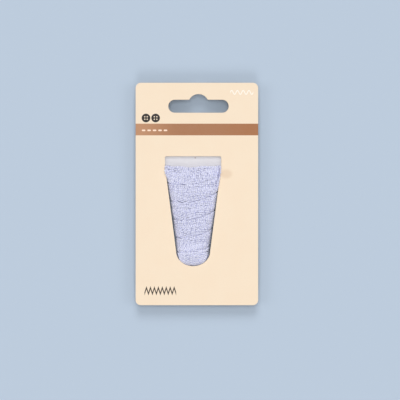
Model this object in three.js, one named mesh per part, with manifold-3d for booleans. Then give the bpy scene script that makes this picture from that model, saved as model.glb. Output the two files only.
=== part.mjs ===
import * as THREE from "three";
import { ParametricGeometry } from "three/addons/geometries/ParametricGeometry.js";
import { mergeVertices } from "three/addons/utils/BufferGeometryUtils.js";
import Module from "manifold-3d";

// A card of elastic thread, lying face up on the back of its winding: a printed board with a hanging slot
// and a tapered window, and a white board core behind the window, with the thread wound on its tongue.
// Millimetres, X to the right and Y up the card's face, Z out of it, the origin on the surface under the
// card's middle. Heights on the card are given from its foot, the lower edge.

const wasm = await Module();
wasm.setup();

const CARD = { width: 65, height: 118, thickness: 1, corner: 2.8, back: 6 };

// The euro slot, with the round bump for the peg over its upper edge
const SLOT = { x: 0.85, foot: 102.1, width: 32, height: 6.9, bumpRadius: 5.5, bumpCentre: 106.5 };

// The window's upright sides end at the shoulder, its taper at the spring of the round end
const WINDOW = {
  x: -2,
  top: 79,
  corner: 0.8,
  shoulder: 73.8,
  shoulderHalf: 14.93,
  spring: 28.6,
  springHalf: 9.05,
  endDepth: 7.9,
};

// The board core: a head with upright sides, and a tongue that starts under a small step on each side
const CORE = {
  thickness: 1,
  middle: 5.2,
  top: 91,
  headHalf: 17,
  corner: 1.5,
  step: 74,
  tongueHalf: 12,
  tipHalf: 4,
  tipCentre: 29,
};

// The winding's sections, from its top edge down: half widths to the left and right of the window's
// middle, heights of the crown over the core's middle and of the back under it, squareness, the power of
// each section's superellipse, and how far the thread bulges out behind the board
const SECTIONS = [
  { height: 73.7, left: 15.95, right: 15.65, crown: 3.5, back: 2.9, square: 6, behind: 0.3 },
  { height: 70, left: 15.55, right: 15.35, crown: 4, back: 4.4, square: 5, behind: 0.8 },
  { height: 66, left: 13.95, right: 14.75, crown: 4.4, back: 5.5, square: 3.6, behind: 1 },
  { height: 62, left: 13.1, right: 14, crown: 4.6, back: 5.7, square: 3.3, behind: 1 },
  { height: 60, left: 12.75, right: 13, crown: 4.7, back: 5.8, square: 3.1, behind: 1 },
  { height: 52, left: 11.55, right: 11.6, crown: 4.9, back: 5.9, square: 2.8, behind: 1 },
  { height: 44, left: 10.4, right: 10.35, crown: 4.9, back: 5.85, square: 2.7, behind: 1 },
  { height: 36, left: 9.3, right: 9.1, crown: 4.7, back: 5.7, square: 2.6, behind: 1 },
  { height: 28.6, left: 8.65, right: 8.3, crown: 4.3, back: 5.1, square: 2.4, behind: 1 },
];

// The bulge starts and is full at these shares of the way from the core's middle to the back
const BULGE = { start: 0.05, full: 0.4 };

// The top edge is rounded over. The nose has this length, and a bend a little fuller than an ellipse's
const WINDING = { edgeRadius: 0.9, noseLength: 7.6, nosePower: 2.5 };

// The main twists: grooves between the bundles of turns, deeper ones that climb to the right and shallow
// ones that climb to the left, each at its height on the form's right side
const GROOVES = [
  { first: 70.9, climb: -9.7, depth: 0.42 },
  { first: 72.7, climb: 10.2, depth: 0.2 },
];
const GROOVE_SHARPNESS = 9;

// Turns hang lower on the form's two faces than at its sides, by a share of the half width
const SAG = { share: 0.22, kink: 0.2, end: 27.1, run: 8 };

// The crossed layers end above the nose in a low step
const LAYER_END = { height: 26.8, depth: 0.4, run: 0.8 };

const CLEARANCE = 0.3;
const GRID = { turn: 64, body: 50, edge: 3, nose: 10, arc: 400 };
const CURVE_SEGMENTS = 16;

const FINISHES = {
  printedBoard: { color: "#f9e5cb", roughness: 0.7 },
  whiteBoard: { color: "#dedde3", roughness: 0.85 },
  elasticThread: { color: "#c8c9e4", roughness: 0.9 },
};
const HALF_TURN = Math.PI;
const QUARTER_TURN = Math.PI / 2;
const WELD = 1e-4;

// From a height over the card's foot to Y
const up = (height) => height - CARD.height / 2;

// A closed outline pulled up from z by the given thickness
function board(shape, z, thickness) {
  const geometry = new THREE.ExtrudeGeometry(shape, {
    depth: thickness,
    bevelEnabled: false,
    curveSegments: CURVE_SEGMENTS,
  });
  return geometry.translate(0, 0, z);
}

// A triangle that has kept its three corners apart
const isWhole = (a, b, c) => a !== b && b !== c && c !== a;

// The geometry as a solid, with its shared corners merged and the faces that collapse at a pole dropped
function solidOf(geometry) {
  const bare = geometry.clone();
  bare.deleteAttribute("normal");
  bare.deleteAttribute("uv");
  const welded = mergeVertices(bare, WELD);
  const corners = welded.index.array;
  const kept = [];
  for (let i = 0; i < corners.length; i += 3) {
    const [a, b, c] = corners.slice(i, i + 3);
    if (isWhole(a, b, c)) {
      kept.push(a, b, c);
    }
  }
  return new wasm.Manifold(
    new wasm.Mesh({
      numProp: 3,
      vertProperties: new Float32Array(welded.attributes.position.array),
      triVerts: new Uint32Array(kept),
    }),
  );
}

function geometryOf(solid) {
  const { vertProperties, triVerts } = solid.getMesh();
  const geometry = new THREE.BufferGeometry();
  geometry.setAttribute("position", new THREE.BufferAttribute(vertProperties, 3));
  geometry.setIndex(new THREE.BufferAttribute(triVerts, 1));
  return geometry;
}

function piece(name, geometry, finish) {
  const material = new THREE.MeshStandardMaterial({ ...finish, metalness: 0 });
  geometry.computeVertexNormals();
  const mesh = new THREE.Mesh(geometry, material);
  mesh.name = name;
  return mesh;
}

// A rectangle whose corners are arcs, counter-clockwise from its lower left
function roundedBlank(width, height, radius) {
  const x = width / 2;
  const y = height / 2;
  const shape = new THREE.Shape();
  shape.moveTo(radius - x, -y);
  shape.absarc(x - radius, radius - y, radius, -QUARTER_TURN, 0);
  shape.absarc(x - radius, y - radius, radius, 0, QUARTER_TURN);
  shape.absarc(radius - x, y - radius, radius, QUARTER_TURN, HALF_TURN);
  shape.absarc(radius - x, radius - y, radius, HALF_TURN, HALF_TURN + QUARTER_TURN);
  shape.closePath();
  return shape;
}

// The slot with round ends, clockwise from the lower end of its left arc, over the bump
function slotOutline() {
  const radius = SLOT.height / 2;
  const reach = SLOT.width / 2 - radius;
  const middle = up(SLOT.foot) + radius;
  const top = middle + radius;
  const bumpY = up(SLOT.bumpCentre);
  const lean = Math.asin((top - bumpY) / SLOT.bumpRadius);
  const path = new THREE.Path();
  path.moveTo(SLOT.x - reach, middle - radius);
  path.absarc(SLOT.x - reach, middle, radius, -QUARTER_TURN, QUARTER_TURN, true);
  path.absarc(SLOT.x, bumpY, SLOT.bumpRadius, HALF_TURN - lean, lean, true);
  path.absarc(SLOT.x + reach, middle, radius, QUARTER_TURN, -QUARTER_TURN, true);
  path.closePath();
  return path;
}

// The window, drawn smaller by the inset all round
function windowOutline(inset) {
  const { x, corner } = WINDOW;
  const half = WINDOW.shoulderHalf - inset;
  const top = up(WINDOW.top) - inset;
  const spring = up(WINDOW.spring);
  const path = new THREE.Path();
  path.moveTo(x - half, up(WINDOW.shoulder));
  path.lineTo(x - half, top - corner);
  path.absarc(x - half + corner, top - corner, corner, HALF_TURN, QUARTER_TURN, true);
  path.absarc(x + half - corner, top - corner, corner, QUARTER_TURN, 0, true);
  path.lineTo(x + half, up(WINDOW.shoulder));
  path.absellipse(x, spring, WINDOW.springHalf - inset, WINDOW.endDepth - inset, 0, -HALF_TURN, true, 0);
  path.closePath();
  return path;
}

function cardGeometry() {
  const blank = roundedBlank(CARD.width, CARD.height, CARD.corner);
  blank.holes.push(slotOutline(), windowOutline(0));
  return board(blank, CARD.back, CARD.thickness);
}

// The core's outline: the head, a step in on each side, and the tapered tongue with a round tip
function coreOutline() {
  const { headHalf, corner, tongueHalf, tipHalf } = CORE;
  const { x } = WINDOW;
  const top = up(CORE.top);
  const step = up(CORE.step);
  const shape = new THREE.Shape();
  shape.moveTo(x - tongueHalf, step);
  shape.lineTo(x - tipHalf, up(CORE.tipCentre));
  shape.absarc(x, up(CORE.tipCentre), tipHalf, HALF_TURN, 2 * HALF_TURN);
  shape.lineTo(x + tongueHalf, step);
  shape.lineTo(x + headHalf, step);
  shape.absarc(x + headHalf - corner, top - corner, corner, 0, QUARTER_TURN);
  shape.absarc(x - headHalf + corner, top - corner, corner, QUARTER_TURN, HALF_TURN);
  shape.lineTo(x - headHalf, step);
  shape.closePath();
  return shape;
}

// The room that the tongue takes inside the thread, open over the winding's top edge
function tongueRoom() {
  const { x } = WINDOW;
  const { step, tipCentre, tongueHalf, tipHalf, thickness } = CORE;
  const taper = (tongueHalf - tipHalf) / (step - tipCentre);
  const tip = tipHalf + CLEARANCE;
  const mouth = up(step) + thickness;
  const half = tip + taper * (mouth - up(tipCentre));
  const room = new THREE.Shape();
  room.moveTo(x - half, mouth);
  room.lineTo(x - tip, up(tipCentre));
  room.absarc(x, up(tipCentre), tip, HALF_TURN, 2 * HALF_TURN);
  room.lineTo(x + half, mouth);
  room.closePath();
  return board(room, CORE.middle - thickness / 2 - CLEARANCE, thickness + 2 * CLEARANCE);
}

// The room that the card's board takes where the thread bulges over the window's edges
function cardRoom() {
  const room = roundedBlank(CARD.width, CARD.height, CARD.corner);
  room.holes.push(windowOutline(CLEARANCE));
  return board(room, CARD.back - CLEARANCE, CARD.thickness + 2 * CLEARANCE);
}

// Smooth rise from 0 to 1
const ease = (share) => THREE.MathUtils.smoothstep(share, 0, 1);

// The sizes of the winding at a height, eased between the rows of its table
function sectionAt(height) {
  const last = SECTIONS.length - 1;
  const found = SECTIONS.findIndex((row) => row.height < height);
  const lower = found < 0 ? last : Math.max(found, 1);
  const [a, b] = [SECTIONS[lower - 1], SECTIONS[lower]];
  const share = THREE.MathUtils.clamp((a.height - height) / (a.height - b.height), 0, 1);
  const mix = (column) => THREE.MathUtils.lerp(a[column], b[column], share);
  return {
    left: mix("left"),
    right: mix("right"),
    crown: mix("crown"),
    back: mix("back"),
    square: mix("square"),
    behind: mix("behind"),
  };
}

// One section of the winding across its length: a superellipse from its right edge over the front. Its
// points carry in Y how much further down the bulge behind the board hangs on the nose
class SectionCurve extends THREE.Curve {
  constructor(size, scale, drop, inset) {
    super();
    Object.assign(this, { size, scale, drop, inset });
    this.arcLengthDivisions = GRID.arc;
  }

  getPoint(t, target = new THREE.Vector3()) {
    const { left, right, crown, back, square } = this.size;
    const across = Math.cos(2 * HALF_TURN * t);
    const out = Math.sin(2 * HALF_TURN * t);
    const bulge = this.size.behind * ease((-out - BULGE.start) / (BULGE.full - BULGE.start));
    const half = ((across > 0 ? right : left) + bulge) * this.scale - this.inset;
    const rise = (out > 0 ? crown : back) * this.scale - this.inset;
    const bend = (value) => Math.sign(value) * Math.abs(value) ** (2 / square);
    return target.set(half * bend(across), -bulge * this.drop, rise * bend(out));
  }
}

// How near a groove is, as 1 on its line and 0 midway to the next, at a turn and an unsagged height
function nearness({ first, climb }, turn, height) {
  const turns = (height - first) / climb - turn;
  return Math.abs(Math.cos(HALF_TURN * turns)) ** GROOVE_SHARPNESS;
}

// How much lower a turn lies here than at the form's sides
function sagAt(turn, height, half) {
  const bow = Math.hypot(Math.sin(2 * HALF_TURN * turn), SAG.kink) - SAG.kink;
  const fullBow = Math.hypot(1, SAG.kink) - SAG.kink;
  return (SAG.share * half * ease((height - SAG.end) / SAG.run) * bow) / fullBow;
}

// Depth of the twists and of the step over the nose, under the plain wound form
function relief(turn, height, half) {
  const end = ease((height - LAYER_END.height) / LAYER_END.run);
  const level = height + sagAt(turn, height, half);
  const depths = GROOVES.map((groove) => groove.depth * nearness(groove, turn, level));
  return end * Math.max(...depths) + (1 - end) * LAYER_END.depth;
}

// One ring of points round the winding, pressed in by the relief. At either pole it is a single point
function ring({ height, scale, drop, inset }) {
  const size = sectionAt(height);
  if (scale === 0) {
    const pole = new THREE.Vector3(WINDOW.x, up(height) - (size.behind * drop) / 2, CORE.middle);
    return new Array(GRID.turn + 1).fill(pole);
  }
  const curve = new SectionCurve(size, scale, drop, inset);
  return curve.getSpacedPoints(GRID.turn).map((point, i) => {
    const turn = (i % GRID.turn) / GRID.turn;
    const reach = Math.hypot(point.x, point.z);
    const pressed = scale * relief(turn, height, size.left);
    const share = reach > pressed ? 1 - pressed / reach : 0;
    return new THREE.Vector3(WINDOW.x + share * point.x, up(height) + point.y, CORE.middle + share * point.z);
  });
}

// The heights of the rings, from the middle of the top edge to the tip of the nose
function stations() {
  const top = SECTIONS[0].height;
  const spring = SECTIONS[SECTIONS.length - 1].height;
  const { edgeRadius, noseLength, nosePower } = WINDING;
  const rows = [{ height: top, scale: 0, drop: 0, inset: 0 }];
  for (let i = 0; i < GRID.edge; i += 1) {
    const angle = (QUARTER_TURN * i) / GRID.edge;
    rows.push({
      height: top - edgeRadius * (1 - Math.cos(angle)),
      scale: 1,
      drop: 0,
      inset: edgeRadius * (1 - Math.sin(angle)),
    });
  }
  for (let i = 0; i < GRID.body; i += 1) {
    const height = THREE.MathUtils.lerp(top - edgeRadius, spring, i / GRID.body);
    rows.push({ height, scale: 1, drop: 0, inset: 0 });
  }
  for (let i = 0; i <= GRID.nose; i += 1) {
    const angle = (QUARTER_TURN * i) / GRID.nose;
    const scale = i < GRID.nose ? Math.cos(angle) ** (2 / nosePower) : 0;
    const drop = Math.sin(angle) ** (2 / nosePower);
    rows.push({ height: spring - noseLength * drop, scale, drop, inset: 0 });
  }
  return rows;
}

// The plain wound form with its twists, closed at the middle of its top edge and at the tip of its nose
function woundForm() {
  const rings = stations().map(ring);
  const stacks = rings.length - 1;
  const place = (u, v, target) => {
    const row = rings[Math.round(v * stacks)];
    target.copy(row[Math.round(u * GRID.turn) % GRID.turn]);
  };
  return new ParametricGeometry(place, GRID.turn, stacks);
}

// All that lies under the surface on which the winding is pressed flat
function underSurface() {
  const box = new THREE.BoxGeometry(CARD.width, CARD.height, CORE.middle);
  return box.translate(0, 0, -CORE.middle / 2);
}

function coreGeometry() {
  return board(coreOutline(), CORE.middle - CORE.thickness / 2, CORE.thickness);
}

function windingGeometry() {
  let solid = solidOf(woundForm());
  solid = solid.subtract(solidOf(tongueRoom()));
  solid = solid.subtract(solidOf(cardRoom()));
  solid = solid.subtract(solidOf(underSurface()));
  return geometryOf(solid);
}

const object = new THREE.Group();
object.add(piece("card", cardGeometry(), FINISHES.printedBoard));
object.add(piece("core", coreGeometry(), FINISHES.whiteBoard));
object.add(piece("winding", windingGeometry(), FINISHES.elasticThread));

export default object;
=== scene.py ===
import math
from types import SimpleNamespace as Sizes

import bmesh
import bpy
import numpy as np
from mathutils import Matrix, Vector


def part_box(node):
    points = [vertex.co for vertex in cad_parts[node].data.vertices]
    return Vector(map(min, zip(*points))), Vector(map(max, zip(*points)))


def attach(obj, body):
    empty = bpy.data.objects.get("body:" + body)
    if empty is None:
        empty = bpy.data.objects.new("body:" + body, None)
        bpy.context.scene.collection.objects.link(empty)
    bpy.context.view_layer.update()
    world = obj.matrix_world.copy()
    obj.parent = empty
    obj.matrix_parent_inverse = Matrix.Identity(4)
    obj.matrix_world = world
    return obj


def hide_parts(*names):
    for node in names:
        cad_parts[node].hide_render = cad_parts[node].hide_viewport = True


# A card of elastic thread, lying face up on the back of its winding. The sizes are in millimetres until a
# point is made. Heights on the card are from its foot, the lower edge, and X is from the card's middle.

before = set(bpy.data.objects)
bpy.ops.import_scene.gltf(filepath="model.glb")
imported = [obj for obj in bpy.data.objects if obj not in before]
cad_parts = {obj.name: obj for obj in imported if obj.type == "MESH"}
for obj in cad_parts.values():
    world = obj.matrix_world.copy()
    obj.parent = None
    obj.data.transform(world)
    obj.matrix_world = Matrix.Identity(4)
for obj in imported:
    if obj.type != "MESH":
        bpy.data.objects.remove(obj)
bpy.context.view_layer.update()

MM = 0.001
TURN = 2 * math.pi
GOLDEN = (math.sqrt(5) - 1) / 2


def box_mm(node):
    """The lowest and highest corner of a node, in millimetres."""
    low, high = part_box(node)
    return Vector(low) / MM, Vector(high) / MM


CARD_LOW, CARD_HIGH = box_mm("card")
CORE_LOW, CORE_HIGH = box_mm("core")
CORE_MIDDLE = (CORE_LOW.z + CORE_HIGH.z) / 2
FOOT = CARD_LOW.y
CARD_CORNER = 2.8
RIM = 0.2
RIM_ANGLE = 1.0  # in radians
CLEARANCE = 0.3
MERGE = 0.001
SHARP = Sizes(board=20, thread=60)
ARC_STEPS = Sizes(corner=8, curve=20, end=40)
SLOT = Sizes(x=0.85, foot=102.1, width=32, height=6.9, bump_radius=5.5, bump_centre=106.5)
WINDOW = Sizes(
    x=-2, top=79, corner=0.8, shoulder=73.8, shoulder_half=14.93, spring=28.6, spring_half=9.05, end_depth=7.9
)
CORE = Sizes(head_half=17, corner=1.5, step=74, tongue_half=12, tip_half=4, tip_centre=29)

# The winding's sections from its top edge down: half widths to the left and right of the window's middle,
# heights of the crown and the back from the core's middle, and the power of the superellipse. Behind the
# card the sections are wider, by the millimetres in the last column
SECTION_COLUMNS = ("height", "left", "right", "crown", "back", "square", "behind")
SECTIONS = np.array(
    (
        (73.7, 15.95, 15.65, 3.5, 2.9, 6, 0.3),
        (70, 15.55, 15.35, 4.0, 4.4, 5, 0.8),
        (66, 13.95, 14.75, 4.4, 5.5, 3.6, 1),
        (62, 13.1, 14.1, 4.6, 5.7, 3.3, 1),
        (60, 12.75, 13.2, 4.7, 5.8, 3.1, 1),
        (52, 11.55, 11.8, 4.9, 5.9, 2.8, 1),
        (44, 10.4, 10.6, 4.9, 5.85, 2.7, 1),
        (36, 9.3, 9.3, 4.7, 5.7, 2.6, 1),
        (28.6, 8.65, 8.3, 4.3, 5.1, 2.4, 1),
    )
)
FORM_TOP, FORM_SPRING = SECTIONS[0][0], SECTIONS[-1][0]
FORM = Sizes(edge_radius=0.9, nose_length=7.6, nose_power=2.5, behind_from=0.05, behind_run=0.35)
BESIDE_BOARD = Sizes(run=0.7, room=4)
SECTION_STEPS = 2400

# The thread, and the beads that its wraps make on it, as shares of its radius
THREAD = Sizes(radius=0.37, wrap=1.15)
BEAD = Sizes(crest=1.05, hollow=0.9)
STEP = THREAD.wrap / 2

# How it is wound: each cycle runs down the form and up again, and the cycles fall a small share of a turn
# beside each other, with a wider gap, a groove, after the last. Cycles and shifts are in turns, and so are
# the stretches over which the thread turns back and tucks its ends in
WIND = Sizes(
    cycles=11,
    cycle_turns=10.082,
    shift_down=0.082,
    shift_up=0.0875,
    reversal=0.12,
    lift_reversal=0.03,
    tuck=0.12,
    pitch_down=9.7,
    groove=69.9,
    top=77.3,
    bottom=27.1,
    edge=0.4,
    edge_spread=0.35,
    end_spread=2.4,
    pile=0.12,
    pile_reach=3,
    wobble=0.06,
    crinkle=0.07,
    sag=0.22,
    sag_kink=0.2,
    sag_end=8,
)
# How far the thread sinks where another crosses over it, pressed tighter at the form's sides and near its
# top, and how far the thread beside a groove dips into it
WEAVE = Sizes(lift=0.32, dip=0.4, tight=0.4, side=0.5, calm=0.3, calm_from=65, calm_run=5)
LIP = Sizes(rise=0.6, run=2, front=0.4, front_run=0.8)
UNDER_DEPTH = 0.8

# How the thread strays from its way, as waves of a strength, a number in each turn and a phase: in its
# level, and in the crimp of its bulk to the side and inwards
LEVEL_WAVES = ((1, 1.37, 0), (1, 2.71, 1), (0.6, 5.3, 2))
SIDE_WAVES = ((1, 41.3, 0), (1, 29.7, 1))
INWARD_WAVES = ((1, 36.7, 2), (1, 24.1, 0))

PACKED = Sizes(
    sides=96,
    rows=60,
    nose_rows=14,
    nose_from=0.1,
    nose_to=1.5,
    top=72.9,
    depth=1.9,
    wall=0.2,
    clear=0.12,
    merge=0.01,
    rows_apart=0.8,
)
NOSE = Sizes(
    strands=21,
    bend_steps=48,
    lead_steps=8,
    start=32.5,
    widest=0.95,
    lean=0.2,
    covered=29.5,
    bare=25.5,
    cover=1.35,
    over=0.25,
)
TURN_STEPS = 160


def up(height):
    """From a height over the card's foot to Y."""
    return FOOT + height


def ease(share):
    """Smooth rise from 0 to 1."""
    share = np.clip(share, 0, 1)
    return share * share * (3 - 2 * share)


def sizes_at(height):
    """The winding's sizes at a height, between its sections."""
    rows = SECTIONS[::-1]
    return Sizes(**{name: np.interp(height, rows[:, 0], rows[:, i]) for i, name in enumerate(SECTION_COLUMNS)})


def nose_height(angle):
    """The height at an angle round the nose's bend, from its spring to its tip."""
    return FORM_SPRING - FORM.nose_length * np.sin(angle) ** (2 / FORM.nose_power)


def rearward(out):
    """From 0 in front of the core to 1 behind it, by a direction's share out of the face."""
    return ease((-FORM.behind_from - out) / FORM.behind_run)


# Boards


def arc(x, y, across, along, start, end, steps=ARC_STEPS.curve):
    """Points of an ellipse's arc between two angles in degrees."""
    angles = np.radians(np.linspace(start, end, steps + 1))
    return [(x + across * math.cos(a), y + along * math.sin(a)) for a in angles]


def blank_outline():
    r = CARD_CORNER
    left, right, foot, top = CARD_LOW.x + r, CARD_HIGH.x - r, CARD_LOW.y + r, CARD_HIGH.y - r
    return (
        arc(right, foot, r, r, -90, 0)
        + arc(right, top, r, r, 0, 90)
        + arc(left, top, r, r, 90, 180)
        + arc(left, foot, r, r, 180, 270)
    )


def slot_outline():
    r = SLOT.height / 2
    reach = SLOT.width / 2 - r
    middle = up(SLOT.foot) + r
    bump = up(SLOT.bump_centre)
    lean = math.degrees(math.asin((middle + r - bump) / SLOT.bump_radius))
    return (
        arc(SLOT.x - reach, middle, r, r, 270, 90)
        + arc(SLOT.x, bump, SLOT.bump_radius, SLOT.bump_radius, 180 - lean, lean)
        + arc(SLOT.x + reach, middle, r, r, 90, -90)
    )


def window_outline():
    w = WINDOW
    top = up(w.top) - w.corner
    inner = w.shoulder_half - w.corner
    return (
        [(w.x - w.shoulder_half, up(w.shoulder))]
        + arc(w.x - inner, top, w.corner, w.corner, 180, 90, ARC_STEPS.corner)
        + arc(w.x + inner, top, w.corner, w.corner, 90, 0, ARC_STEPS.corner)
        + [(w.x + w.shoulder_half, up(w.shoulder))]
        + arc(w.x, up(w.spring), w.spring_half, w.end_depth, 0, -180, ARC_STEPS.end)
    )


def core_outline():
    c, x = CORE, WINDOW.x
    top = CORE_HIGH.y - c.corner
    inner = c.head_half - c.corner
    return (
        [(x - c.tongue_half, up(c.step))]
        + arc(x, up(c.tip_centre), c.tip_half, c.tip_half, 180, 360)
        + [(x + c.tongue_half, up(c.step)), (x + c.head_half, up(c.step))]
        + arc(x + inner, top, c.corner, c.corner, 0, 90, ARC_STEPS.corner)
        + arc(x - inner, top, c.corner, c.corner, 90, 180, ARC_STEPS.corner)
        + [(x - c.head_half, up(c.step))]
    )


def finish_piece(name, mesh, material, slot, node, sharp_degrees):
    """A mesh as a piece on the body, in its material, smooth but for its sharp edges."""
    mesh.shade_smooth()
    mesh.set_sharp_from_angle(angle=math.radians(sharp_degrees))
    mesh.materials.clear()
    mesh.materials.append(material)
    piece = bpy.data.objects.new(name, mesh)
    bpy.context.collection.objects.link(piece)
    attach(piece, "root")
    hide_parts(node)
    return piece


def finish_bmesh(name, bm, *rest):
    mesh = bpy.data.meshes.new(name)
    bm.to_mesh(mesh)
    bm.free()
    return finish_piece(name, mesh, *rest)


def board(name, outlines, low, high, *rest):
    """A sheet of board cut to the outlines, with its cut rims a little rounded."""
    bm = bmesh.new()
    for outline in outlines:
        corners = [bm.verts.new((x * MM, y * MM, low * MM)) for x, y in outline]
        for a, b in zip(corners, corners[1:] + corners[:1]):
            bm.edges.new((a, b))
    bmesh.ops.remove_doubles(bm, verts=bm.verts[:], dist=MERGE * MM)
    bmesh.ops.triangle_fill(bm, use_beauty=True, edges=bm.edges[:], normal=(0, 0, 1))
    raised = bmesh.ops.extrude_face_region(bm, geom=bm.faces[:])
    top = [v for v in raised["geom"] if isinstance(v, bmesh.types.BMVert)]
    bmesh.ops.translate(bm, verts=top, vec=(0, 0, (high - low) * MM))
    bmesh.ops.recalc_face_normals(bm, faces=bm.faces[:])
    level = [e for e in bm.edges if abs(e.verts[0].co.z - e.verts[1].co.z) < MERGE * MM]
    rims = [e for e in level if e.calc_face_angle(0) > RIM_ANGLE]
    bmesh.ops.bevel(
        bm,
        geom=rims,
        offset=RIM * MM,
        offset_type="OFFSET",
        segments=2,
        profile=0.5,
        affect="EDGES",
        material=-1,
        clamp_overlap=True,
    )
    return finish_bmesh(name, bm, *rest, SHARP.board)


# The wound form as a grid of points: a row for each height, a column for each step round the section


def window_half(height):
    """Half of the window's width at a height."""
    w = WINDOW
    taper = np.interp(height, (w.spring, w.shoulder), (w.spring_half, w.shoulder_half))
    drop = np.clip((w.spring - height) / w.end_depth, 0, 1)
    return taper * np.sqrt(1 - drop * drop)


def section_points(height, columns):
    """Points at even steps round the section at a height, from its right edge over the front."""
    size = sizes_at(height)
    drop = min(max(FORM_SPRING - height, 0) / FORM.nose_length, 1)
    scale = (1 - drop**FORM.nose_power) ** (1 / FORM.nose_power)
    rounding = min(max(height - FORM_TOP + FORM.edge_radius, 0) / FORM.edge_radius, 1)
    inset = FORM.edge_radius * (1 - math.sqrt(1 - rounding * rounding))
    angle = np.linspace(0, TURN, SECTION_STEPS + 1)
    across, out = np.cos(angle), np.sin(angle)
    half = (np.where(across > 0, size.right, size.left) + size.behind * rearward(out)) * scale - inset
    rise = np.where(out > 0, size.crown, size.back) * scale - inset
    x = half * np.sign(across) * np.abs(across) ** (2 / size.square)
    z = rise * np.sign(out) * np.abs(out) ** (2 / size.square)
    beyond = size.behind * drop * rearward(out)
    run = np.concatenate(([0], np.cumsum(np.hypot(np.diff(x), np.diff(z)))))
    even = np.linspace(0, run[-1], columns + 1)[:-1]
    return [np.interp(even, run, values) for values in (x, z, beyond)]


def pressed(x, z, height):
    """The section with its back flat on the surface, and room for the card's board at its sides."""
    z = np.maximum(z + CORE_MIDDLE, 0)
    board_middle = (CARD_LOW.z + CARD_HIGH.z) / 2
    board_reach = (CARD_HIGH.z - CARD_LOW.z) / 2 + CLEARANCE
    free = ease((np.abs(z - board_middle) - board_reach) / BESIDE_BOARD.run)
    limit = window_half(height) - CLEARANCE + BESIDE_BOARD.room * free
    return np.clip(x, -limit, limit), z


class WoundForm:
    """The plain wound form's surface, which the turns of thread follow."""

    ROWS_BODY, ROWS_NOSE, COLUMNS = 240, 60, 320

    def __init__(self):
        nose = np.linspace(0, TURN / 4, self.ROWS_NOSE)[1:]
        body = np.linspace(FORM_TOP, FORM_SPRING, self.ROWS_BODY)
        self.heights = np.concatenate((body, nose_height(nose)))
        rows = []
        for height in self.heights:
            x, z, beyond = section_points(height, self.COLUMNS)
            x, z = pressed(x, z, height)
            rows.append(np.stack((x + WINDOW.x, up(height) - beyond, z), axis=1))
        self.points = np.array(rows)
        around = np.roll(self.points, -1, axis=1) - np.roll(self.points, 1, axis=1)
        down = np.gradient(self.points, axis=0)
        out = np.cross(around, down)
        out[-1] = (0, -1, 0)
        self.normals = out / np.maximum(np.linalg.norm(out, axis=2, keepdims=True), 1e-12)

    def sample(self, grid, turns, heights):
        """The grid between its points, at turns round the form and heights on it."""
        row = np.interp(-heights, -self.heights, np.arange(len(self.heights)))
        column = (turns % 1) * self.COLUMNS
        r0 = np.minimum(row.astype(int), len(self.heights) - 2)
        c0 = column.astype(int) % self.COLUMNS
        c1 = (c0 + 1) % self.COLUMNS
        rf, cf = (row - r0)[:, None], (column - column.astype(int))[:, None]
        above = grid[r0, c0] * (1 - cf) + grid[r0, c1] * cf
        below = grid[r0 + 1, c0] * (1 - cf) + grid[r0 + 1, c1] * cf
        return above * (1 - rf) + below * rf

    def laid(self, turns, heights, depths):
        """Points at depths under the surface."""
        out = self.sample(self.normals, turns, heights)
        return self.sample(self.points, turns, heights) - depths[:, None] * out


# The thread's ways


def hang(level, turn):
    """How much lower than at the form's sides a turn lies on its two faces, at a level of the winding."""
    kink = WIND.sag_kink
    bow = (np.hypot(np.sin(TURN * turn), kink) - kink) / (math.hypot(1, kink) - kink)
    return WIND.sag * sizes_at(level).left * ease((level - WIND.bottom) / WIND.sag_end) * bow


def woven(share, shift, cycle, own_first, dip):
    """From -1 under to 1 over, where a cycle's thread crosses those of the other slant by their order."""
    place = share / shift
    before = np.minimum(place.astype(int), WIND.cycles - 1)
    after = (before + 1) % WIND.cycles
    wide = 1 / shift - (WIND.cycles - 1)
    in_groove = before == WIND.cycles - 1
    part = np.where(in_groove, (place - before) / wide, place - before)
    over_before = np.where(cycle + own_first > before, 1.0, -1.0)
    over_after = np.where(cycle + own_first > after, 1.0, -1.0)
    crossing = over_before + (over_after - over_before) * ease(part)
    return crossing - dip * in_groove * np.sin(TURN / 2 * part)


def smoothed(values, reach):
    """The values averaged over their neighbours within a reach on both sides."""
    width = 2 * reach + 1
    padded = np.concatenate((np.full(reach, values[0]), values, np.full(reach, values[-1])))
    return np.convolve(padded, np.ones(width) / width, mode="valid")


def strayed(turn, waves):
    """A sum of waves along the turns."""
    return sum(strength * np.sin(TURN * rate * turn + phase) for strength, rate, phase in waves)


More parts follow.
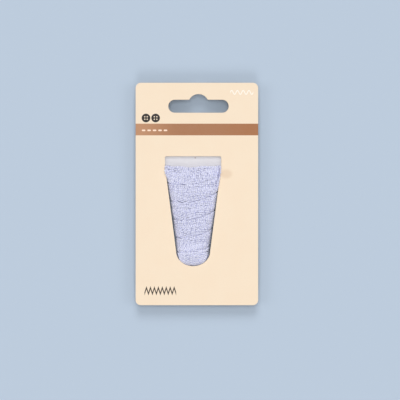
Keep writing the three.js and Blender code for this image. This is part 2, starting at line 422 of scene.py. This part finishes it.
def crossed_path(form, depth):
    """The thread's middle line, wound down and up the form with its turns woven by their order."""
    w, weave = WIND, WEAVE
    first_turn = 1 + (1 - (w.cycles - 1) * w.shift_down) / 2 - (w.top - w.groove) / w.pitch_down
    turns_down = (w.top - w.bottom) / w.pitch_down
    pitch_up = (w.top - w.bottom) / (w.cycle_turns - turns_down)
    wound = np.arange(0, w.cycles * w.cycle_turns, 1 / TURN_STEPS)
    cycle = (wound / w.cycle_turns).astype(int)
    place = wound - cycle * w.cycle_turns
    turn = wound + first_turn

    # The level down and up the form, and the order in which the turns cross there
    later = w.shift_up - w.shift_down
    falling = w.top - w.pitch_down * place
    rising = w.bottom + pitch_up * (place - turns_down - later * cycle)
    risen = w.bottom + pitch_up * (place + w.cycle_turns - turns_down - later * (cycle - 1))
    risen = np.where(cycle > 0, risen, falling)
    level = np.maximum(np.minimum(falling, risen), rising)
    share_up = (turn - (level - w.bottom) / pitch_up - first_turn - turns_down) % 1
    share_down = (turn - (w.top - level) / w.pitch_down - first_turn) % 1
    lift_down = woven(share_up, w.shift_up, cycle, 0, 0)
    lift_up = woven(share_down, w.shift_down, cycle, 1, weave.dip / weave.lift)
    lift = np.where(falling > rising, lift_down, lift_up)

    # The turns back at both ends, each cycle's at a level of its own
    spread = cycle * GOLDEN % 1
    highest = FORM_TOP - w.edge - w.edge_spread * spread
    level = np.maximum(level, w.bottom + w.end_spread * spread)
    level = smoothed(level, int(w.reversal * TURN_STEPS))
    lift = smoothed(lift, int(w.lift_reversal * TURN_STEPS))
    level = level + w.wobble * strayed(turn, LEVEL_WAVES)

    # Heights on the form, past its spring round the nose, and depths under its surface
    nose = np.maximum(FORM_SPRING - level, 0) / FORM.nose_length
    heights = np.where(nose > 0, nose_height(nose), level)
    heights = heights - hang(level, turn) + w.crinkle * strayed(turn, SIDE_WAVES)
    piled = smoothed(np.maximum(heights - highest, 0), w.pile_reach)
    heights = np.minimum(heights, highest)
    tucked = ease(1 - np.minimum(wound, wound[-1] - wound) / w.tuck)
    loose = weave.tight + (1 - weave.tight) * ease(np.abs(np.sin(TURN * turn)) / weave.side)
    calm = 1 - weave.calm * ease((level - weave.calm_from) / weave.calm_run)
    woven_in = weave.lift * (1 - lift) * loose * calm
    crimped = w.crinkle * (1 + strayed(turn, INWARD_WAVES))
    points = form.laid(turn, heights, depth + THREAD.radius + woven_in + crimped + w.pile * piled + tucked)

    # The edge in front of the core stands up over its bare head as a lip
    front = ease((points[:, 2] - CORE_HIGH.z - LIP.front) / LIP.front_run)
    points[:, 1] += LIP.rise * front * ease((heights - FORM_TOP + LIP.run) / LIP.run)
    return points


def nose_path():
    """The inner thread's middle line, laid back and forth over the nose, and leaning in towards its tip."""
    angle = np.linspace(0, TURN / 2, NOSE.bend_steps + 1)
    lead = np.linspace(NOSE.start, FORM_SPRING, NOSE.lead_steps + 1)[:-1]
    heights = np.concatenate((lead, nose_height(angle), lead[::-1]))
    swing = np.concatenate((0 * lead, angle, np.full(NOSE.lead_steps, TURN / 2)))
    size = sizes_at(np.maximum(heights, FORM_SPRING))
    behind = rearward(np.cos(swing))
    sunk = THREAD.radius + NOSE.cover * ease((heights - NOSE.bare) / (NOSE.covered - NOSE.bare))
    power = FORM.nose_power
    strands = []
    for i, share in enumerate(np.linspace(-NOSE.widest, NOSE.widest, NOSE.strands)):
        lean = abs(share) * (1 - NOSE.lean * np.sin(swing) ** 2)
        rise = (1 - lean**size.square) ** (1 / size.square) * np.cos(swing)
        spread = (lean**size.square + np.abs(rise) ** size.square) ** (1 / size.square)
        high = np.where(rise > 0, size.crown, size.back) - sunk
        wide = (size.right if share > 0 else size.left) + size.behind * behind
        x = WINDOW.x + math.copysign(1, share) * lean * (wide - sunk)
        beyond = FORM.nose_length + NOSE.over + size.behind * behind - sunk
        beyond = beyond * (1 - np.minimum(spread, 1) ** power) ** (1 / power)
        y = up(np.maximum(heights, FORM_SPRING)) - beyond
        z = np.maximum(CORE_MIDDLE + rise * high, THREAD.radius)
        strand = np.stack((x, y, z), axis=1)
        strands.append(strand if i % 2 == 0 else strand[::-1])
    return np.vstack(strands)


def spaced(path, step):
    """The path again with points at even steps along it, and its length."""
    run = np.concatenate(([0], np.cumsum(np.linalg.norm(np.diff(path, axis=0), axis=1))))
    even = np.linspace(0, run[-1], int(run[-1] / step) + 1)
    return np.stack([np.interp(even, run, column) for column in path.T], axis=1), run[-1]


def thread(name, path, step, sides, material):
    """A length of thread as a tube with a bead for each wrap, and millimetres along it in its UV map."""
    points, length = spaced(path, step)
    points[:, 2] = np.maximum(points[:, 2], THREAD.radius * BEAD.crest)
    curve = bpy.data.curves.new(name, "CURVE")
    curve.dimensions = "3D"
    curve.bevel_depth = THREAD.radius * MM
    curve.bevel_resolution = sides // 2 - 2  # 0 makes 4 sides, and each more 2
    curve.use_fill_caps = True
    spline = curve.splines.new("POLY")
    spline.points.add(len(points) - 1)
    spline.points.foreach_set("co", np.hstack((points * MM, np.ones((len(points), 1)))).ravel())
    spline.points.foreach_set("radius", np.where(np.arange(len(points)) % 2, BEAD.crest, BEAD.hollow))
    holder = bpy.data.objects.new(name, curve)
    bpy.context.collection.objects.link(holder)
    mesh = bpy.data.meshes.new_from_object(holder.evaluated_get(bpy.context.evaluated_depsgraph_get()))
    bpy.data.objects.remove(holder)
    mesh.name = name
    layer = mesh.uv_layers[0].uv
    places = np.empty(2 * len(layer), dtype=np.float32)
    layer.foreach_get("vector", places)
    places[0::2] *= length
    layer.foreach_set("vector", places)
    return finish_piece(name, mesh, material, "elastic_thread", "winding", SHARP.thread)


def packed_turns(name, form, material):
    """The inner turns as a sleeve round the tongue, under the crossed layers and closed at both ends."""
    p, x = PACKED, WINDOW.x
    turns = np.arange(p.sides) / p.sides
    nose = nose_height(np.linspace(p.nose_from, p.nose_to, p.nose_rows))
    levels = np.concatenate((np.linspace(p.top, FORM_SPRING, p.rows), nose))
    rows = [form.laid(turns, np.full(p.sides, level), np.full(p.sides, p.depth)) for level in levels]
    at_core = rows[0].copy()
    at_core[:, 0] = np.clip(at_core[:, 0], x - CORE.tongue_half - p.clear, x + CORE.tongue_half + p.clear)
    at_core[:, 2] = np.clip(at_core[:, 2], CORE_LOW.z - p.clear, CORE_HIGH.z + p.clear)
    bm = bmesh.new()
    loop = bmesh.ops.create_circle(bm, cap_ends=False, segments=p.sides, radius=MM)["verts"]
    for row in [at_core] + rows:
        if row is not at_core:
            rim = set(loop)
            edges = [e for e in bm.edges if e.verts[0] in rim and e.verts[1] in rim]
            made = bmesh.ops.extrude_edge_only(bm, edges=edges)["geom"]
            grown = {v for v in made if isinstance(v, bmesh.types.BMVert)}
            loop = [next(e.other_vert(v) for e in v.link_edges if e.other_vert(v) in grown) for v in loop]
        for vertex, point in zip(loop, row):
            vertex.co = Vector(point) * MM
    rim = set(loop)
    bmesh.ops.contextual_create(bm, geom=[e for e in bm.edges if e.is_boundary and e.verts[0] in rim])
    bmesh.ops.remove_doubles(bm, verts=bm.verts[:], dist=p.merge * MM)
    bmesh.ops.recalc_face_normals(bm, faces=bm.faces[:])
    piece = finish_bmesh(name, bm, material, "elastic_thread", "winding", SHARP.thread)
    sleeve = piece.modifiers.new("wall", "SOLIDIFY")
    sleeve.thickness = p.wall * MM
    sleeve.offset = -1
    return piece


# Materials


def linear(hex_colour):
    """An sRGB hex colour as linear RGBA."""
    values = [int(hex_colour[i : i + 2], 16) / 255 for i in (1, 3, 5)]
    return [v / 12.92 if v <= 0.04045 else ((v + 0.055) / 1.055) ** 2.4 for v in values] + [1]


def fill(node, key, value):
    """Sets a node's input to a value, or links a socket to it."""
    if isinstance(value, bpy.types.NodeSocket):
        node.id_data.links.new(value, node.inputs[key])
    elif value is not None:
        node.inputs[key].default_value = value


def add(tree, kind, *values, output=0, **named):
    """A new node's output. Values or sockets fill its inputs in order, and names set properties or inputs."""
    node = tree.nodes.new("ShaderNode" + kind)
    inputs = dict(enumerate(values))
    for name, value in named.items():
        if hasattr(node, name):
            setattr(node, name, value)
        else:
            inputs[name.replace("_", " ")] = value
    for key, value in inputs.items():
        fill(node, key, value)
    return node.outputs[output]


def new_material(name):
    material = bpy.data.materials.new(name)
    material.use_nodes = True
    return material, material.node_tree


def surface(tree, colour, roughness, height=None, relief=0.0, sheen=0.0):
    """Sets the shader: colour and roughness as values or sockets, and a relief in millimetres."""
    shader = tree.nodes["Principled BSDF"]
    fill(shader, "Base Color", colour)
    fill(shader, "Roughness", roughness)
    fill(shader, "Sheen Weight", sheen)
    if height is not None:
        fill(shader, "Normal", add(tree, "Bump", Height=height, Distance=relief * MM, Strength=1.0))


def layered(tree, colour, *layers):
    """A colour with others laid over it in turn, each by its mask. Colours are hex values or sockets."""
    for mask, over in layers:
        below, above = (linear(c) if isinstance(c, str) else c for c in (colour, over))
        colour = add(tree, "Mix", mask, *[None] * 5, below, above, data_type="RGBA", output=2)
    return colour


def card_place(tree):
    """The place on the card in millimetres: X from its middle, height from its foot, Z over the surface."""
    position = add(tree, "TexCoord", output="Object")
    point = add(tree, "Mapping", position, (0, -FOOT, 0), Scale=(1 / MM, 1 / MM, 1 / MM))
    x, height, z = add(tree, "SeparateXYZ", point).node.outputs
    return Sizes(point=point, x=x, height=height, z=z)


# The print: a band across the card that deepens to the right, and plain sewing marks of two buttons, a
# running stitch, a zigzag and a wave, then a faint darker beige patch and a small dark dot on the core, by
# their places from the card's middle and foot
SMOOTH = {"interpolation_type": "SMOOTHSTEP"}
INK_SOFT = 0.06
BAND = Sizes(low=90.1, high=96.3, first="#bd8a65", changes=((-20, 11, "#a8734d"), (18, 12, "#a76d42")))
BUTTONS = Sizes(x=-24.45, apart=5.1, height=99.3, radius=2.3, hole=0.34, hole_at=0.66)
STITCHES = Sizes(start=-29.2, count=5, dash=1.9, gap=1.0, height=92.75, radius=0.42)
ZIGZAG = Sizes(start=-27.8, end=-11.0, period=2.1, height=7.65, reach=1.6, thickness=0.55)
WAVE = Sizes(start=17.7, end=29.9, period=3.05, height=112.9, reach=1.0, thickness=0.45)
# A faint darker beige patch on the card, right of the winding's upper right edge.
BEIGE_PATCH = Sizes(x=15.6, height=69.6, half_width=3.0, half_height=2.3, soft=0.45)
SPECK = Sizes(x=-0.9, height=78.2, half_width=0.35, half_height=0.35, soft=0.15 / 0.35)


def between(tree, value, low, high):
    """1 where a value lies between two edges of ink, and 0 outside."""
    rise = add(tree, "MapRange", value, low - INK_SOFT, low + INK_SOFT, 0.0, 1.0, **SMOOTH)
    past = add(tree, "MapRange", value, high - INK_SOFT, high + INK_SOFT, 0.0, 1.0, **SMOOTH)
    return add(tree, "Math", rise, past, operation="SUBTRACT")


def line_along(tree, at, target, stretch, thickness):
    """1 on a line of even thickness, from its height at each X and how far its slope stretches it."""
    off = add(tree, "Math", at.height, target, operation="SUBTRACT")
    off = add(tree, "Math", off, operation="ABSOLUTE")
    off = add(tree, "Math", off, stretch, operation="DIVIDE")
    reach = thickness / 2
    return add(tree, "MapRange", off, reach - INK_SOFT, reach + INK_SOFT, 1.0, 0.0, **SMOOTH)


def band_colour(tree, at):
    """The band's brown, from its left end to its right."""
    changes = []
    for middle, run, colour in BAND.changes:
        share = add(tree, "MapRange", at.x, middle - run, middle + run, 0.0, 1.0, **SMOOTH)
        changes.append((share, colour))
    return layered(tree, BAND.first, *changes)


def button_mask(tree, at):
    """Two buttons at once, folded onto each other, each with four holes folded onto one."""
    b = BUTTONS
    across = add(tree, "Math", at.x, b.x, operation="SUBTRACT")
    across = add(tree, "Math", across, operation="ABSOLUTE")
    place = add(tree, "CombineXYZ", across, at.height, 0.0)
    place = add(tree, "VectorMath", place, (b.apart / 2, b.height, 0), operation="SUBTRACT")
    place = add(tree, "VectorMath", place, operation="ABSOLUTE")
    radius = add(tree, "VectorMath", place, operation="LENGTH", output="Value")
    disc = add(tree, "MapRange", radius, b.radius - INK_SOFT, b.radius + INK_SOFT, 1.0, 0.0, **SMOOTH)
    hole = add(tree, "VectorMath", place, (b.hole_at, b.hole_at, 0), operation="DISTANCE", output="Value")
    bare = add(tree, "MapRange", hole, b.hole - INK_SOFT, b.hole + INK_SOFT, 0.0, 1.0, **SMOOTH)
    return add(tree, "Math", disc, bare, operation="MULTIPLY")


def stitch_mask(tree, at):
    """Round-ended dashes in a row."""
    s = STITCHES
    period = s.dash + s.gap
    start = s.start - s.gap / 2
    along = add(tree, "Math", at.x, start, operation="SUBTRACT")
    along = add(tree, "Math", along, period, operation="FLOORED_MODULO")
    off_middle = add(tree, "Math", along, period / 2, operation="SUBTRACT")
    off_middle = add(tree, "Math", off_middle, operation="ABSOLUTE")
    past = add(tree, "Math", off_middle, s.dash / 2 - s.radius, operation="SUBTRACT")
    past = add(tree, "Math", past, 0.0, operation="MAXIMUM")
    off_line = add(tree, "Math", at.height, s.height, operation="SUBTRACT")
    place = add(tree, "CombineXYZ", past, off_line, 0.0)
    distance = add(tree, "VectorMath", place, operation="LENGTH", output="Value")
    dash = add(tree, "MapRange", distance, s.radius - INK_SOFT, s.radius + INK_SOFT, 1.0, 0.0, **SMOOTH)
    row = between(tree, at.x, start, start + s.count * period)
    return add(tree, "Math", dash, row, operation="MULTIPLY")


def zigzag_mask(tree, at):
    z = ZIGZAG
    along = add(tree, "Math", at.x, z.start, operation="SUBTRACT")
    swing = add(tree, "Math", along, z.period / 2, operation="PINGPONG")
    slope = 4 * z.reach / z.period
    target = add(tree, "Math", swing, slope, z.height - z.reach, operation="MULTIPLY_ADD")
    line = line_along(tree, at, target, math.hypot(1, slope), z.thickness)
    return add(tree, "Math", line, between(tree, at.x, z.start, z.end), operation="MULTIPLY")


def wave_mask(tree, at):
    w = WAVE
    rate = TURN / w.period
    phase = add(tree, "Math", at.x, rate, -w.start * rate, operation="MULTIPLY_ADD")
    target = add(tree, "Math", phase, operation="SINE")
    target = add(tree, "Math", target, w.reach, w.height, operation="MULTIPLY_ADD")
    slope = add(tree, "Math", phase, operation="COSINE")
    slope = add(tree, "Math", slope, w.reach * rate, operation="MULTIPLY")
    stretch = add(tree, "Math", slope, slope, 1.0, operation="MULTIPLY_ADD")
    stretch = add(tree, "Math", stretch, operation="SQRT")
    line = line_along(tree, at, target, stretch, w.thickness)
    return add(tree, "Math", line, between(tree, at.x, w.start, w.end), operation="MULTIPLY")


def spot_mask(tree, at, spot):
    """A round or oval spot with a soft edge."""
    place = add(tree, "CombineXYZ", at.x, at.height, 0.0)
    place = add(tree, "VectorMath", place, (spot.x, spot.height, 0), operation="SUBTRACT")
    place = add(tree, "VectorMath", place, (spot.half_width, spot.half_height, 1), operation="DIVIDE")
    distance = add(tree, "VectorMath", place, operation="LENGTH", output="Value")
    return add(tree, "MapRange", distance, 1 - spot.soft, 1 + spot.soft, 1.0, 0.0, **SMOOTH)


# Sizes of the boards' and the thread's texture: the length of a fibre, of a cloud in the pulp and of a
# patch of ply, the plies in a millimetre of the cut edge, the part of the rounded rim over which the print
# wears off, how softly the speck ends inside the core, and the length of a slub. The pairs are the ranges
# of noise that are drawn out
PAPER = Sizes(fibre=0.6, cloud=9, patch=2.5, plies=9.0, mottle=(0.35, 0.65), worn_from=0.05, worn_to=0.95)
WHITE = Sizes(fibre=0.5, front_soft=0.1)
SLUB = Sizes(length=0.9, range=(0.52, 0.68))


def printed_paperboard():
    """Paperboard printed on its front with matt inks: even colour with a faint fibre mottle that ends on
    the rounded rim, darker grey plies in layers in the cut edge, and a plain uncoated back."""
    material, tree = new_material("offset printed paperboard, matt")
    at = card_place(tree)
    fibres = add(tree, "TexNoise", at.point, Scale=1 / PAPER.fibre, Detail=4.0)
    clouds = add(tree, "TexNoise", at.point, Scale=1 / PAPER.cloud, Detail=2.0)
    clouds = add(tree, "MapRange", clouds, *PAPER.mottle, 0.0, 0.5)
    ink = layered(
        tree,
        layered(tree, "#f2dec4", (fibres, "#f7e3c9"), (clouds, "#f4dec3")),
        (between(tree, at.height, BAND.low, BAND.high), band_colour(tree, at)),
        (stitch_mask(tree, at), "#ffe1ca"),
        (button_mask(tree, at), "#1a100b"),
        (zigzag_mask(tree, at), "#36271c"),
        (wave_mask(tree, at), "#fff7ec"),
        # The faint darker beige patch right of the winding's upper right edge.
        (spot_mask(tree, at, BEIGE_PATCH), "#ead2b6"),
    )
    plies = add(tree, "Mapping", at.point, Scale=(1 / PAPER.patch, 1 / PAPER.patch, PAPER.plies))
    plies = add(tree, "TexNoise", plies, Scale=1.0, Detail=2.0)
    plies = add(tree, "MapRange", plies, *PAPER.mottle, 0.0, 1.0)
    cut = layered(tree, "#83706a", (plies, "#a69284"))
    back = layered(tree, "#958876", (fibres, "#aa9d8a"))
    worn_from, worn_to = RIM * PAPER.worn_from, RIM * PAPER.worn_to
    inner = add(tree, "MapRange", at.z, CARD_LOW.z + worn_from, CARD_LOW.z + worn_to, 0.0, 1.0, **SMOOTH)
    front = add(tree, "MapRange", at.z, CARD_HIGH.z - worn_to, CARD_HIGH.z - worn_from, 0.0, 1.0, **SMOOTH)
    colour = layered(tree, back, (inner, cut), (front, ink))
    rough = add(tree, "MapRange", fibres, 0.3, 0.7, 0.5, 0.68)
    surface(tree, colour, rough, fibres, 0.012)
    return material


def white_board():
    """Uncoated white board, die cut: matt, with a fibre mottle, and one small dark dot on its front."""
    material, tree = new_material("uncoated white board")
    at = card_place(tree)
    fibres = add(tree, "TexNoise", at.point, Scale=1 / WHITE.fibre, Detail=5.0)
    soft = WHITE.front_soft
    front = add(tree, "MapRange", at.z, CORE_MIDDLE - soft, CORE_MIDDLE + soft, 0.0, 1.0, **SMOOTH)
    speck = add(tree, "Math", spot_mask(tree, at, SPECK), front, operation="MULTIPLY")
    surface(tree, layered(tree, "#dad8dc", (fibres, "#e5e3e7"), (speck, "#b9aaa6")), 0.85, fibres, 0.015)
    return material


def elastic_thread():
    """Rubber thread wrapped with bulked polyester: each wrap stands as a soft bead, with a painted highlight
    on its crest and painted shade in the hollow, and a matt fuzz. The wraps are drawn at about twice their
    real pitch, so that they show."""
    material, tree = new_material("covered elastic thread, wrapped polyester")
    along, around, _ = add(tree, "SeparateXYZ", add(tree, "UVMap", uv_map="UVMap")).node.outputs
    turned = add(tree, "Math", along, 1 / THREAD.wrap, around, operation="MULTIPLY_ADD")
    wave = add(tree, "Math", turned, TURN, operation="MULTIPLY")
    wave = add(tree, "Math", wave, operation="COSINE")
    crest = add(tree, "MapRange", wave, -1.0, 1.0, 1.0, 0.0)
    slub = add(tree, "Math", along, 1 / SLUB.length, operation="MULTIPLY")
    slub = add(tree, "TexNoise", noise_dimensions="1D", W=slub, Scale=1.0)
    slub = add(tree, "MapRange", slub, *SLUB.range, 0.0, 1.0)
    # The paler colour on each wrap's crest is a painted highlight, and the darker colour in its hollow is
    # painted shade; the crest also raises the bump.
    surface(tree, layered(tree, "#d2d4f2", (crest, "#f1f2ff"), (slub, "#b3b5d9")), 0.85, crest, 0.05, sheen=0.4)
    return material


def packed_thread():
    """The same thread, pressed in the depth of the winding, in darker colours that are painted shade for that
    depth: level rows, with painted shade between them.
    """
    material, tree = new_material("covered elastic thread, packed")
    wave = add(tree, "Math", card_place(tree).height, TURN / PACKED.rows_apart, operation="MULTIPLY")
    wave = add(tree, "Math", wave, operation="SINE")
    row = add(tree, "MapRange", wave, -1.0, 1.0, 0.0, 1.0)
    # Both colours are painted shade: darker than the open thread for the depth of the winding, and darkest
    # between the rows.
    surface(tree, layered(tree, "#a0a0c0", (row, "#cccce6")), 0.9, row, 0.15)
    return material


def painted_top():
    """A table top rolled with matt emulsion paint: flat pale blue with no gloss."""
    material, tree = new_material("matt emulsion paint")
    surface(tree, linear("#b9c8d9"), 0.95)
    return material


# Build

card_outlines = [blank_outline(), slot_outline(), window_outline()]
board("printed_card", card_outlines, CARD_LOW.z, CARD_HIGH.z, printed_paperboard(), "printed_board", "card")
board("core_board", [core_outline()], CORE_LOW.z, CORE_HIGH.z, white_board(), "white_board", "core")
form = WoundForm()
dyed = elastic_thread()
thread("crossed_thread", crossed_path(form, 0), STEP, 8, dyed)
thread("under_thread", crossed_path(form, UNDER_DEPTH), 2 * STEP, 6, dyed)
thread("nose_thread", nose_path(), STEP, 8, dyed)
packed_turns("packed_thread", form, packed_thread())


# Floor, light and camera. The floor's reach is in metres, and a softbox has a name, the side it stands on,
# its tilt from straight above and its strength
FLOOR_REACH = 2
SKY_STRENGTH = 0.11
PICTURE = Sizes(pixels=400, pixel=0.5305, x=1.65, height=55.8, distance=900, sensor=36)
SOFTBOX_SPREAD = 30
SOFTBOXES = (
    ("overhead", (0, 1), 5, 1.12),
    ("top", (0, 1), 45, 1.1),
    ("foot", (0, -1), 45, 0.68),
    ("left", (-1, 0), 45, 0.38),
    ("right", (1, 0), 45, 0.38),
)


def floor():
    bm = bmesh.new()
    bmesh.ops.create_grid(bm, x_segments=1, y_segments=1, size=FLOOR_REACH)
    mesh = bpy.data.meshes.new("floor")
    bm.to_mesh(mesh)
    bm.free()
    piece = bpy.data.objects.new("floor", mesh)
    bpy.context.collection.objects.link(piece)
    mesh.materials.append(painted_top())


def softboxes():
    """Large far lights, one from nearly overhead and four tilted to the sides."""
    for name, side, tilt, strength in SOFTBOXES:
        light = bpy.data.lights.new(name, "SUN")
        light.energy = strength
        light.angle = math.radians(SOFTBOX_SPREAD)
        lamp = bpy.data.objects.new(name, light)
        rise = 1 / math.tan(math.radians(tilt))
        lamp.rotation_euler = Vector((*side, rise)).to_track_quat("Z", "Y").to_euler()
        bpy.context.collection.objects.link(lamp)


def sky():
    world = bpy.data.worlds.new("studio")
    world.use_nodes = True
    background = world.node_tree.nodes["Background"]
    fill(background, "Color", (1, 1, 1, 1))
    fill(background, "Strength", SKY_STRENGTH)
    bpy.context.scene.world = world


def camera():
    """The photograph's camera, straight above the card, with the picture's width in millimetres."""
    p = PICTURE
    lens = bpy.data.cameras.new("camera")
    lens.sensor_width = p.sensor
    lens.lens = p.sensor * p.distance / (p.pixels * p.pixel)
    eye = bpy.data.objects.new("camera", lens)
    eye.location = (p.x * MM, up(p.height) * MM, (CARD_HIGH.z + p.distance) * MM)
    bpy.context.collection.objects.link(eye)
    bpy.context.scene.camera = eye


floor()
softboxes()
sky()
camera()
bpy.context.scene.view_settings.view_transform = "Standard"
